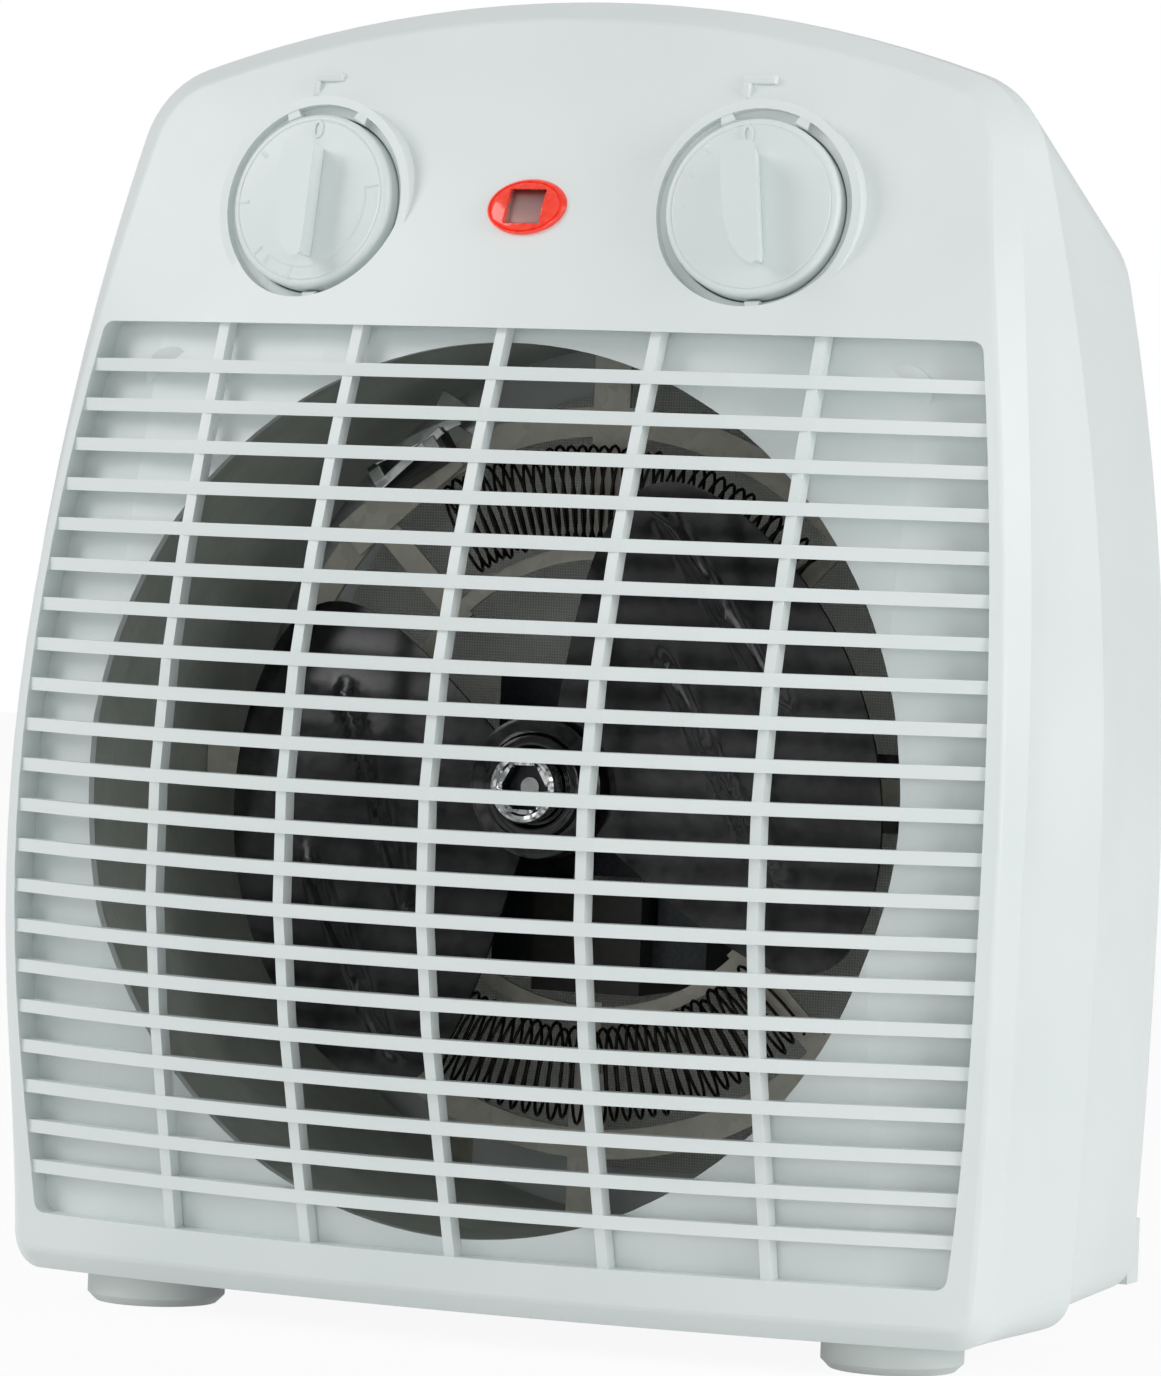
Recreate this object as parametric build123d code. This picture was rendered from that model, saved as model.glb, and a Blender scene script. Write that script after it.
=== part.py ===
from build123d import *
import math
import os

# Fan heater, upright, 2 kW class. Origin at the middle of its footprint, +Z up, the grille faces -Y.
# Depths are measured back from the foremost point of the bulged grille.

# Casing
height = 266.0
seam_width = 230.0
depth = 125.0
wall = 2.4
foot_height = 6.5
widest_height = 105.0
side_radius_up = 540.0
side_radius_down = 1440.0
top_radius = 266.0
shoulder_radius = 20.0
toe_radius = 7.5
seam_depth = 66.0
front_edge_width = 4.0
front_edge_radius = 2.0

# Bezel round the grille: narrower than the seam, with a groove in the side behind it
bezel_width = 221.4
groove_width = 219.6
bezel_top_drop = 2.5
bezel_depth = 33.0
groove_depth = 44.0

# Crown of the front: setback of the middle and sag of the sides, at evenly spaced control heights
crown_top = 280.0
crown_reach = 125.0
crown_middle = (22.0, 18.0, -49.0, 35.0, 26.0, 72.0)
crown_sag = (9.5, 22.5, 39.0, 29.0, 1.0, 11.0)
crown_sag_at = 100.0
facet_rows = 7
facet_columns = 6
facet_bow = 0.7

# Rear shell
rear_bottom_step = 4.5
back_depth = 121.0
back_narrowing = 11.0
back_top_drop = 26.0
back_edge_radius = 6.5
back_edge_steps = 3

# Grille
axis_height = 109.0
bar_count = 21
bar_pitch = 8.15
bar_height = 2.6
bar_depth = 3.6
bar_setback = 0.7
bar_chords = 12
rib_width = 2.2
rib_depth = 3.6
rib_setback = 1.4
rib_chords = 8
recess_depth = 6.2
rib_places = (-64.6, -32.2, 0.0, 32.2, 64.6)
recess_low = 18.2
recess_high = 199.4
recess_half_low = 99.0
recess_half_middle = 104.3
recess_half_high = 95.4
recess_corner = 2.5
opening_radius = 87.7
plate_thickness = 2.2
bite = 1.0

# Knobs, their collars and wells
knob_spacing = 95.6
knob_height = 224.0
knob_depth = 40.5
knob_tilt = 10.0
knob_splay = 4.0
knob_radius = 18.4
knob_rise = 1.5
grip_height = 9.0
collar_radius = 21.8
well_radius = 20.0
well_depth = 8.0
spindle_radius = 3.0
spindle_gap = 0.05
knob_floor_gap = 0.8

# Pilot lamp
lamp_height = 223.6
lamp_width = 16.0
lamp_tall = 11.0
lamp_gap = 0.15

# Feet
foot_radius = 14.0
foot_spacing = 162.0
front_foot_depth = 52.0
rear_foot_spacing = 146.0
rear_foot_depth = 100.0
rear_foot_radius = 10.0
foot_chamfer = 1.6

# Fan and duct
duct_radius = 90.0
duct_sheet = 0.8
duct_front = 40.0
duct_back = 106.0
fan_radius = 71.0
fan_depth = 56.0
fan_sheet = 0.9
blade_span = 117.0
blade_pitch = 11.0
blade_camber = 2.2
blade_middle = 198.0
hub_radius = 14.5
hub_length = 8.0

# Motor
shaft_radius = 2.0
running_gap = 0.03
rotor_radius = 12.0
rotor_gap = 0.5
stack_front = 86.0
stack_length = 15.0
stack_width = 48.0

# Heating coils
coil_turns = 12
coil_radius = 59.0
coil_tall = 19.0
coil_thick = 8.0
coil_depth = 78.0
coil_span = 92.0
wire_width = 0.8

front = -depth / 2
shell_bottom = foot_height


def at(setback):
    """Y of a point that lies this far behind the foremost point."""
    return front + setback


def bernstein(values, t):
    """Value at t of the polynomial with these control values."""
    n = len(values) - 1
    return sum(math.comb(n, i) * t**i * (1 - t) ** (n - i) * v for i, v in enumerate(values))


foremost = min(bernstein(crown_middle, step / 400) for step in range(401))


def crown(x, z):
    """Setback of the front surface at a place seen from the front."""
    t = z / crown_top
    return bernstein(crown_middle, t) - foremost + bernstein(crown_sag, t) * (x / crown_sag_at) ** 2


def crown_patch(back):
    """The bulged front surface, moved back."""
    rows = []
    share = (crown_reach / crown_sag_at) ** 2
    for i, (middle, sag) in enumerate(zip(crown_middle, crown_sag)):
        z = crown_top * i / (len(crown_middle) - 1)
        y = at(middle - foremost + back)
        edge = sag * share
        rows.append(
            [
                Vector(-crown_reach, y + edge, z),
                Vector(0, y - edge, z),
                Vector(crown_reach, y + edge, z),
            ]
        )
    return Face.make_bezier_surface(rows)


def layer(back, thickness):
    """A curved sheet that follows the crown."""
    return Solid(extrude(crown_patch(back), amount=thickness, dir=(0, 1, 0)).wrapped)


def faceted(back, far):
    """A plain copy of the crown in flat strips, moved back and made solid to a flat setback."""
    sections = []
    for i in range(facet_rows + 1):
        z = crown_top * i / facet_rows
        places = [crown_reach * (2 * k / facet_columns - 1) for k in range(facet_columns + 1)]
        line = [(x, at(crown(x, z) + back)) for x in places]
        outline = Polyline(*line, (crown_reach, at(far)), (-crown_reach, at(far)), close=True)
        sections.append(Pos(0, 0, z) * make_face(outline).face())
    return loft(sections, ruled=True)


def upright(face, setback):
    """A face drawn in X and Z, stood up at a setback."""
    return Pos(0, at(setback), 0) * Plane.XZ.location * face


def prism(face, near, far):
    """A face drawn in X and Z, made solid between two setbacks."""
    return extrude(upright(face, near), amount=far - near, dir=(0, 1, 0))


def arch(half_width, bottom, top, shoulder=shoulder_radius, toe=toe_radius):
    """The casing's outline: slightly barrelled sides, round shoulders and a low arched top."""
    side_x = half_width - side_radius_up
    top_z = top - top_radius
    dx = -side_x
    dz = top_z - widest_height
    gap = math.hypot(dx, dz)
    along = (side_radius_up**2 - top_radius**2 + gap**2) / (2 * gap)
    off = math.sqrt(side_radius_up**2 - along**2)
    x_s = side_x + (along * dx - off * dz) / gap
    z_s = widest_height + (along * dz + off * dx) / gap
    z_m = (widest_height + z_s) / 2
    x_m = side_x + math.sqrt(side_radius_up**2 - (z_m - widest_height) ** 2)
    low_x = half_width - side_radius_down
    z_l = (widest_height + bottom) / 2
    x_l = low_x + math.sqrt(side_radius_down**2 - (widest_height - z_l) ** 2)
    x_b = low_x + math.sqrt(side_radius_down**2 - (widest_height - bottom) ** 2)
    right = [
        ThreePointArc((x_b, bottom), (x_l, z_l), (half_width, widest_height)),
        ThreePointArc((half_width, widest_height), (x_m, z_m), (x_s, z_s)),
    ]
    left = [mirror(edge, about=Plane.YZ) for edge in right]
    cap = ThreePointArc((x_s, z_s), (0, top), (-x_s, z_s))
    face = make_face(right + left + [cap, Line((-x_b, bottom), (x_b, bottom))])
    corners = face.vertices().group_by(Axis.Y)
    face = fillet(corners[-1], shoulder)
    return fillet(face.vertices().group_by(Axis.Y)[0], toe).face()


def disc(radius, x=0.0, z=0.0):
    """A round face seen from the front."""
    return Pos(x, z) * Circle(radius).face()


def block(x, z, w, h, near, far):
    """A box centred at X and Z, between two setbacks."""
    return prism(Pos(x, z) * Rectangle(w, h).face(), near, far)


def rod(radius, x, z, near, far):
    return prism(disc(radius, x, z), near, far)


def tube(outer, inner, x, z, near, far):
    return rod(outer, x, z, near, far) - rod(inner, x, z, near - 1, far + 1)


# Places that several pieces share
post_x = 80.0
post_z = 80.0
post_radius = 5.5
post_meet = 60.0
screw_radius = 1.5
screw_hole = 1.7
screw_seat = 74.0
posts = [(sx * post_x, axis_height + sz * post_z) for sx in (-1, 1) for sz in (-1, 1)]
back_inside = back_depth - wall
side_post_x = 97.0


# Outlines of the front shell from bezel to seam: setback, half width, lift of the bottom, drop of the top
casing_sections = (
    (-3.0, bezel_width / 2 - 0.4, 0.0, bezel_top_drop + 0.4),
    (bezel_depth, bezel_width / 2, 0.0, bezel_top_drop),
    (groove_depth, groove_width / 2, 0.0, bezel_top_drop),
    ((groove_depth + seam_depth) / 2, groove_width / 2 + 1.7, 0.5, bezel_top_drop * 0.6),
    (seam_depth, seam_width / 2, 1.5, 0.0),
)


def casing_body():
    """The front shell's mass before the crown is cut."""
    faces = []
    for setback, half, lift, drop in casing_sections:
        faces.append(upright(arch(half, shell_bottom + lift, height - drop), setback))
    return loft(faces)


def casing_inside():
    """The mass drawn in by a wall, in plain strips, and open at the seam."""
    faces = []
    for setback, half, lift, drop in (casing_sections[0], casing_sections[2], casing_sections[4]):
        outline = arch(half - wall, shell_bottom + lift + wall, height - drop - wall)
        faces.append(upright(outline, setback + (3 if setback == seam_depth else 0)))
    return loft(faces, ruled=True) & faceted(wall + facet_bow, 2 * seam_depth)


def recess_side(grow):
    """The right edge of the grille's field."""
    return ThreePointArc(
        (recess_half_low + grow, recess_low - grow),
        (recess_half_middle + grow, axis_height),
        (recess_half_high + grow, recess_high + grow),
    )


def recess_outline(grow):
    """The grille's field: slightly barrelled sides between straight top and bottom edges."""
    right = recess_side(grow)
    left = mirror(right, about=Plane.YZ)
    top = Line(left @ 1, right @ 1)
    bottom = Line(left @ 0, right @ 0)
    face = make_face([right, left, top, bottom])
    return fillet(face.vertices(), recess_corner).face()


def recess_half(z):
    """Half the width of the recess at a height."""
    side = recess_side(0)
    return side.arc_center.X + math.sqrt(side.radius**2 - (z - side.arc_center.Y) ** 2)


def curved_bar(z):
    """One horizontal bar: short chords that bow with the crown, ending inside the bezel."""
    half = recess_half(z) + bite
    spread = [half * (2 * i / bar_chords - 1) for i in range(bar_chords + 1)]
    near = [(x, at(crown(x, z) + bar_setback)) for x in spread]
    far = [(x, y + bar_depth) for x, y in reversed(near)]
    face = make_face(Polyline(*near, *far, close=True)).face()
    return Pos(0, 0, z - bar_height / 2) * extrude(face, amount=bar_height, dir=(0, 0, 1))


def curved_rib(x):
    """One upright rib in short chords, set back so that the bars stand proud."""
    low = recess_low - bite
    high = recess_high + bite
    heights = [low + (high - low) * i / rib_chords for i in range(rib_chords + 1)]
    near = [Vector(x, at(crown(x, z) + rib_setback), z) for z in heights]
    far = [point + Vector(0, rib_depth, 0) for point in reversed(near)]
    face = make_face(Polyline(*near, *far, close=True)).face()
    return Pos(-rib_width / 2, 0, 0) * extrude(face, amount=rib_width, dir=(1, 0, 0))


def lattice():
    """Bars and ribs, each running just into the walls of the recess."""
    bars = [curved_bar(axis_height + (i - (bar_count - 1) / 2) * bar_pitch) for i in range(bar_count)]
    ribs = [curved_rib(x) for x in rib_places]
    pieces = bars + ribs
    return pieces[0].fuse(*pieces[1:])


def knob_frame(side):
    """Local frame of a knob: origin on its axis at the collar's rim, Z out along the axis."""
    tilt = math.radians(knob_tilt)
    splay = math.radians(side * knob_splay)
    out = Vector(
        math.sin(splay) * math.cos(tilt),
        -math.cos(splay) * math.cos(tilt),
        math.sin(tilt),
    )
    place = Vector(side * knob_spacing / 2, at(knob_depth), knob_height)
    return Plane(origin=place, x_dir=Vector(0, 0, 1).cross(out) * -1, z_dir=out)


def on_knob(side, shape):
    return knob_frame(side).location * shape


def turned(radius, low, high):
    """A round solid on the local axis."""
    return Pos(0, 0, low) * Cylinder(radius, high - low, align=(Align.CENTER, Align.CENTER, Align.MIN))


def front_mass():
    """The front shell as one lump: the crown's edge is cut back at an angle and its rim rounded."""
    mass = (casing_body() & layer(0, 2 * seam_depth)).solids()[0]
    crown_face = [f for f in mass.faces() if f.geom_type == GeomType.BEZIER][0]
    mass = mass.chamfer(front_edge_width, None, crown_face.edges())
    broad = [f for f in mass.faces() if f.geom_type not in (GeomType.PLANE, GeomType.CYLINDER)]
    crown_face = max(broad, key=lambda f: f.area)
    return mass.fillet(front_edge_radius, crown_face.edges())


def front_shell():
    behind_plate = faceted(recess_depth + plate_thickness, 2 * seam_depth)
    tray = prism(recess_outline(wall), -5, 3 * seam_depth) - behind_plate
    shell = front_mass() - (casing_inside() - tray)
    pocket = prism(recess_outline(0), -5, 2 * seam_depth) - faceted(recess_depth, 3 * seam_depth)
    shell -= pocket
    shell -= rod(opening_radius, 0, axis_height, -5, seam_depth)
    shell += lattice()
    for x, z in posts:
        post = rod(post_radius, x, z, crown(x, z) + recess_depth + plate_thickness / 2, post_meet)
        shell += post
        shell -= rod(screw_radius, x, z, post_meet - 12, post_meet + 1)
    for side in (-1, 1):
        cup = turned(collar_radius, -well_depth - wall, 0)
        shell += on_knob(side, cup)
        well = turned(well_radius, -well_depth, 30)
        hole = turned(spindle_radius + 0.5, -well_depth - 20, 0)
        shell -= on_knob(side, well)
        shell -= on_knob(side, hole)
        flag = Pos(0, collar_radius + 0.6, -1.2) * Box(6.2, 3.4, 2.4)
        shell += on_knob(side, flag)
    lamp_hole = Pos(0, lamp_height) * Ellipse(lamp_width / 2, lamp_tall / 2).face()
    shell -= prism(lamp_hole, 0, seam_depth + 20)
    return shell


def back_outline(inset, setback):
    share = (setback - seam_depth) / (back_depth - seam_depth)
    half = seam_width / 2 - back_narrowing / 2 * share
    bottom = shell_bottom + rear_bottom_step
    top = height - back_top_drop * share
    return upright(arch(half - inset, bottom + inset, top - inset), setback)


grip_half_width = 45.0
grip_low = 204.0
grip_high = 228.0
grip_depth = 24.0
slot_height = 5.0
slot_pitch = 10.0
slot_field = 74.0
standoff_x = 96.0
standoff_low = 12.0
standoff_high = 25.0
terminal_x = -57.0
terminal_z = 25.0
terminal_depth = 12.0
cord_x = 60.0
cord_z = 27.0
cord_hole = 6.0
cord_bore = 3.3


def rear_shell():
    sections = [back_outline(0, seam_depth)]
    for step in range(back_edge_steps + 1):
        turn = math.pi / 2 * step / back_edge_steps
        inset = back_edge_radius * (1 - math.cos(turn))
        sections.append(back_outline(inset, back_depth - back_edge_radius * (1 - math.sin(turn))))
    outer = loft(sections, ruled=True)
    cavity = loft(
        [
            back_outline(wall, seam_depth - 0.01),
            back_outline(wall, back_depth - back_edge_radius),
            back_outline(back_edge_radius, back_inside),
        ],
        ruled=True,
    )
    shell = outer - cavity
    grip_middle = (grip_low + grip_high) / 2
    grip_tall = grip_high - grip_low
    grip_floor = back_depth - grip_depth
    grip = block(0, grip_middle, 2 * grip_half_width, grip_tall, grip_floor, back_depth + 5)
    cup_width = 2 * (grip_half_width + wall)
    cup = block(0, grip_middle, cup_width, grip_tall + 2 * wall, grip_floor - wall, back_depth - 1)
    shell += cup
    shell -= grip
    count = int(slot_field / slot_pitch)
    slots = Sketch()
    for i in range(-count, count + 1):
        half = math.sqrt(slot_field**2 - (i * slot_pitch) ** 2) - 4
        if half > 8:
            slots += Pos(0, axis_height + i * slot_pitch) * Rectangle(2 * half, slot_height)
    for x in (-24.0, 24.0):
        slots -= Pos(x, axis_height) * Rectangle(3.0, 3 * slot_field)
    shell -= prism(slots, back_inside - 2, back_depth + 2)
    for x, z in posts:
        shell += rod(post_radius, x, z, post_meet + duct_sheet, back_depth - 1)
        shell -= rod(screw_hole, x, z, post_meet, back_depth)
        shell -= rod(post_radius - 1.7, x, z, screw_seat, back_depth + 5)
    for side in (-1, 1):
        shell += rod(4.0, side * side_post_x, axis_height, duct_back + 1.2, back_depth - 1)
        shell += block(
            side * standoff_x,
            (standoff_low + standoff_high) / 2,
            18,
            standoff_high - standoff_low,
            back_depth - wall,
            depth,
        )
    return shell - rod(cord_hole, cord_x, cord_z, back_inside - 1, depth + 5)


def foot(radius, x, setback, top):
    solid = Pos(x, at(setback), 0) * Cylinder(radius, top, align=(Align.CENTER, Align.CENTER, Align.MIN))
    lower = solid.edges().sort_by(Axis.Z)[0]
    return chamfer(lower, foot_chamfer) - casing_body()


def duct_ring():
    ring = tube(duct_radius + duct_sheet, duct_radius, 0, axis_height, duct_front, duct_back)
    for x, z in posts:
        turn = math.degrees(math.atan2(z - axis_height, x))
        ear = Rot(0, 0, turn) * (Pos(duct_radius + 12.8, 0) * Rectangle(26, 12))
        ear = Pos(0, axis_height) * ear
        ear = prism(ear.face(), post_meet, post_meet + duct_sheet)
        ear -= rod(duct_radius + duct_sheet / 2, 0, axis_height, 0, back_depth)
        ear -= rod(screw_hole, x, z, 0, back_depth)
        ring += ear
    return ring


def blade_patch(back):
    """Curved sheet of one blade: pitched across its middle line, with camber."""
    reach = fan_radius + 2
    lead = math.tan(math.radians(blade_pitch)) * reach
    rows = []
    for r in (0.0, reach):
        rows.append(
            [
                Vector(r, at(fan_depth) + lead + blade_camber + back, -reach),
                Vector(r, at(fan_depth) - blade_camber + back, 0),
                Vector(r, at(fan_depth) - lead + blade_camber + back, reach),
            ]
        )
    return Face.make_bezier_surface(rows)


def fan_propeller():
    span = math.radians(blade_span / 2)
    c = math.cos(span)
    s = math.sin(span)
    sector = make_face(
        [
            Line((0, 0), (fan_radius * c, -fan_radius * s)),
            ThreePointArc((fan_radius * c, -fan_radius * s), (fan_radius, 0), (fan_radius * c, fan_radius * s)),
            Line((fan_radius * c, fan_radius * s), (0, 0)),
        ]
    )
    sheet = Solid(extrude(blade_patch(0), amount=fan_sheet, dir=(0, 1, 0)).wrapped)
    blade = extrude(Plane.XZ.location * sector.face(), amount=depth, dir=(0, 1, 0))
    blade = Pos(0, -depth / 2, 0) * blade
    blade = blade & sheet
    hub = Rot(90, 0, 0) * Cylinder(hub_radius, hub_length)
    hub = Pos(0, at(fan_depth), 0) * hub
    fan = hub
    for turn in (blade_middle, blade_middle + 180):
        fan += Rot(0, -turn, 0) * blade
    fan = Pos(0, 0, axis_height) * fan
    return fan - rod(shaft_radius, 0, axis_height, 0, depth)


def fan_nut():
    nut = rod(7.2, 0, axis_height, fan_depth - hub_length / 2 - 6, fan_depth - hub_length / 2)
    socket = Pos(0, axis_height) * RegularPolygon(3.6, 6)
    nut -= prism(socket.face(), 0, fan_depth - hub_length / 2 - 3)
    return nut - rod(shaft_radius, 0, axis_height, fan_depth - hub_length / 2 - 4, depth)


shaft_front = fan_depth - hub_length / 2 - 2
shaft_back = 112.0
stack_back = stack_front + stack_length
bridge_sheet = 1.5
bridge_rise = 7.0
bearing_radius = 4.5
bearing_length = 5.0
strap_sheet = 1.2
strap_hole = 5.5
strap_front = duct_back
stack_low = 38.0
stack_high = 22.0


def motor_shaft():
    return rod(shaft_radius, 0, axis_height, shaft_front, shaft_back)


def motor_rotor():
    return tube(rotor_radius, shaft_radius, 0, axis_height, stack_front - 0.5, stack_back + 0.5)


def motor_stator():
    middle = (stack_high - stack_low) / 2
    stack = block(0, axis_height + middle, stack_width, stack_high + stack_low, stack_front, stack_back)
    stack -= rod(rotor_radius + rotor_gap, 0, axis_height, 0, depth)
    stack -= block(0, axis_height - 25, 26, 12, stack_front - 1, stack_back + 1)
    return stack


def motor_winding():
    bobbin = block(0, axis_height - 32, 24, 21, stack_front - 6, stack_back + 6)
    bobbin &= block(0, axis_height - 31.2, 25, 24, 0, depth)
    leg = block(0, axis_height - (31 + stack_low) / 2, 40, stack_low - 31 + 0.6, stack_front - 0.3, stack_back + 0.3)
    return bobbin - leg


def bridge(base, rise):
    """A bent strap that stands on the stack and holds a bearing. Rise is negative towards the front."""
    sign = -1 if rise < 0 else 1
    half = stack_width / 2
    line = Polyline(
        (-half, at(base)),
        (-half + 8, at(base)),
        (-half + 13, at(base + rise)),
        (half - 13, at(base + rise)),
        (half - 8, at(base)),
        (half, at(base)),
    )
    top = Polyline(
        (half, at(base + sign * bridge_sheet)),
        (half - 8, at(base + sign * bridge_sheet)),
        (half - 13, at(base + rise + sign * bridge_sheet)),
        (-half + 13, at(base + rise + sign * bridge_sheet)),
        (-half + 8, at(base + sign * bridge_sheet)),
        (-half, at(base + sign * bridge_sheet)),
    )
    ends = [
        Line((-half, at(base)), (-half, at(base + sign * bridge_sheet))),
        Line((half, at(base)), (half, at(base + sign * bridge_sheet))),
    ]
    face = make_face([line, top] + ends).face()
    strap = Pos(0, 0, axis_height - 7) * extrude(face, amount=14, dir=(0, 0, 1))
    return strap - rod(bearing_radius, 0, axis_height, 0, depth)


def bearing(middle):
    return tube(
        bearing_radius,
        shaft_radius + running_gap,
        0,
        axis_height,
        middle - bearing_length / 2,
        middle + bearing_length / 2,
    )


def motor_strap():
    strap = block(0, axis_height, 2 * side_post_x + 12, 16, strap_front, strap_front + strap_sheet)
    strap -= rod(strap_hole, 0, axis_height, 0, depth)
    for side in (-1, 1):
        strap += rod(4, side * 19, axis_height, stack_back + bridge_sheet, strap_front)
    return strap


def heating_coil(middle):
    """A tall oval coil laid along an arc round the motor, one unbroken wire."""
    points = []
    half = coil_span / 2
    step = coil_span / coil_turns
    half_tall = coil_tall / 2
    half_thick = coil_thick / 2
    for i in range(coil_turns):
        for share, radial, axial in (
            (0.0, -half_tall, -half_thick),
            (0.25, half_tall, -half_thick),
            (0.5, half_tall, half_thick),
            (0.75, -half_tall, half_thick),
        ):
            turn = math.radians(middle - half + (i + share) * step)
            radius = coil_radius + radial
            points.append(
                Vector(
                    radius * math.cos(turn),
                    at(coil_depth + axial),
                    axis_height + radius * math.sin(turn),
                )
            )
    path = FilletPolyline(*points, radius=half_thick * 0.9)
    start = path.position_at(0)
    section = Plane(origin=start, z_dir=path.tangent_at(0)) * Rectangle(wire_width, wire_width)
    return sweep(section, path=path)


def heater_frame():
    ring_out = duct_radius - 0.3
    base_near = coil_depth + coil_thick / 2 + 1.2
    ring = tube(coil_radius + coil_tall / 2 + 8, coil_radius + coil_tall / 2 + 2, 0, axis_height, base_near, base_near + 1)
    inner = tube(coil_radius - coil_tall / 2 - 1, coil_radius - coil_tall / 2 - 4, 0, axis_height, base_near, base_near + 1)
    frame = ring + inner
    for turn in range(0, 360, 45):
        spoke = Pos(coil_radius, 0) * Rectangle(coil_tall + 10, 5)
        spoke = Pos(0, axis_height) * (Rot(0, 0, turn) * spoke)
        frame += prism(spoke.face(), base_near, base_near + 1)
    for turn in (0, 90, 180, 270):
        arm = Pos((coil_radius + ring_out) / 2, 0) * Rectangle(ring_out - coil_radius, 8)
        arm = Pos(0, axis_height) * (Rot(0, 0, turn) * arm)
        frame += prism(arm.face(), base_near, base_near + 1)
    return frame


def control_body(side, width, length, tall):
    """A control screwed behind the well's floor, bored for the spindle."""
    top = -well_depth - wall
    body = Pos(0, 0, top - length / 2) * Box(width, tall, length)
    body -= turned(spindle_radius + spindle_gap, top - length - 1, top + 1)
    return on_knob(side, body)


def spindle(side, length):
    top = -well_depth - wall
    return on_knob(side, turned(spindle_radius, top - length, -1.0))


def knob(side):
    low = -well_depth + knob_floor_gap
    body = turned(knob_radius, low, knob_rise)
    rim = body.edges().sort_by(Axis.Z)[-1]
    body = fillet(rim, 1.2)
    grip = make_face(
        [
            ThreePointArc((3.2, 15.0), (-3.6, 2.0), (3.2, -15.0)),
            Line((3.2, -15.0), (3.2, 15.0)),
        ]
    )
    grip = Pos(0, 0, knob_rise - 1) * extrude(grip.face(), amount=grip_height + 1, taper=3)
    body += grip
    body -= turned(spindle_radius, low - 1, -1.0)
    return on_knob(side, body)


def lamp_lens():
    y = crown(0, lamp_height)
    outer = Pos(0, lamp_height) * Ellipse(lamp_width / 2 - lamp_gap, lamp_tall / 2 - lamp_gap)
    body = prism(outer.face(), y - 10, y + wall + 4) & layer(-1.0, wall + 5)
    core = Pos(0, lamp_height) * Ellipse(lamp_width / 2 - 1.5, lamp_tall / 2 - 1.5)
    body -= prism(core.face(), y - 10, y + 20) & layer(0.6, 30)
    return body


def neon_lamp():
    y = crown(0, lamp_height)
    return Pos(0, at(y + 5.5), lamp_height) * (Rot(0, 90, 0) * Cylinder(2.4, 9.0))


def terminal_block():
    near = back_inside - terminal_depth
    body = block(terminal_x, terminal_z, 30, 12, near, back_inside)
    for x in (terminal_x - 10, terminal_x, terminal_x + 10):
        body -= rod(1.6, x, terminal_z, near - 1, near + 8)
    return body


def cord_bush():
    bush = rod(cord_hole, cord_x, cord_z, back_inside - 8, back_depth)
    bush += rod(cord_hole + 2, cord_x, cord_z, back_inside - 3, back_inside)
    return bush - rod(cord_bore, cord_x, cord_z, 0, depth + 5)


def casing_screws():
    screws = []
    for x, z in posts:
        screw = rod(screw_radius, x, z, post_meet - 10, screw_seat)
        screw += rod(3.0, x, z, screw_seat, screw_seat + 2.2)
        screws.append(screw)
    return Compound(children=[s.solids()[0] for s in screws])


def build():
    parts = {
        "front_shell": front_shell(),
        "rear_shell": rear_shell(),
        "front_foot_left": foot(foot_radius, -foot_spacing / 2, front_foot_depth, shell_bottom + 2.0),
        "front_foot_right": foot(foot_radius, foot_spacing / 2, front_foot_depth, shell_bottom + 2.0),
        "rear_foot_left": foot(rear_foot_radius, -rear_foot_spacing / 2, rear_foot_depth, shell_bottom + rear_bottom_step),
        "rear_foot_right": foot(rear_foot_radius, rear_foot_spacing / 2, rear_foot_depth, shell_bottom + rear_bottom_step),
        "duct_ring": duct_ring(),
        "fan_propeller": fan_propeller(),
        "fan_nut": fan_nut(),
        "motor_shaft": motor_shaft(),
        "motor_rotor": motor_rotor(),
        "motor_stator": motor_stator(),
        "motor_winding": motor_winding(),
        "front_bridge": bridge(stack_front, -bridge_rise),
        "rear_bridge": bridge(stack_back, 1.0),
        "front_bearing": bearing(stack_front - bridge_rise),
        "rear_bearing": bearing(stack_back + 3.0),
        "motor_strap": motor_strap(),
        "upper_heating_coil": heating_coil(90),
        "lower_heating_coil": heating_coil(270),
        "heater_frame": heater_frame(),
        "thermostat_body": control_body(-1, 24, 14, 30),
        "thermostat_spindle": spindle(-1, 8),
        "thermostat_knob": knob(-1),
        "rotary_switch_body": control_body(1, 28, 16, 28),
        "rotary_switch_spindle": spindle(1, 8),
        "rotary_switch_knob": knob(1),
        "lamp_lens": lamp_lens(),
        "neon_lamp": neon_lamp(),
        "terminal_block": terminal_block(),
        "cord_bush": cord_bush(),
        "casing_screws": casing_screws(),
    }
    return parts


def main():
    os.makedirs("parts", exist_ok=True)
    for name, shape in build().items():
        export_step(shape, "parts/" + name + ".step")


if __name__ == "__main__":
    main()
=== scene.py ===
import math

import bmesh
import bpy
from mathutils import Matrix, Vector
from mathutils.bvhtree import BVHTree


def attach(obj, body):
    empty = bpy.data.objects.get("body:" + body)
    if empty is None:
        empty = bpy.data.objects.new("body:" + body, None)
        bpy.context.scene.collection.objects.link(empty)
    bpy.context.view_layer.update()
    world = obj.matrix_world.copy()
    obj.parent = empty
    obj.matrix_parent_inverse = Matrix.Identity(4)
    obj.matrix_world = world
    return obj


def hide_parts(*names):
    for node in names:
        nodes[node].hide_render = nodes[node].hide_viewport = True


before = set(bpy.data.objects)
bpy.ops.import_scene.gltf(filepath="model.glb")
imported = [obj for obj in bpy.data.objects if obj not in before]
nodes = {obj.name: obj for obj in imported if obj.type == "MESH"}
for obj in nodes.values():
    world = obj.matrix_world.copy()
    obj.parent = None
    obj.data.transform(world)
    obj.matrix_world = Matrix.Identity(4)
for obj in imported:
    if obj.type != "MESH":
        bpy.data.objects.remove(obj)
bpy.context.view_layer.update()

MM = 0.001

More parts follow.
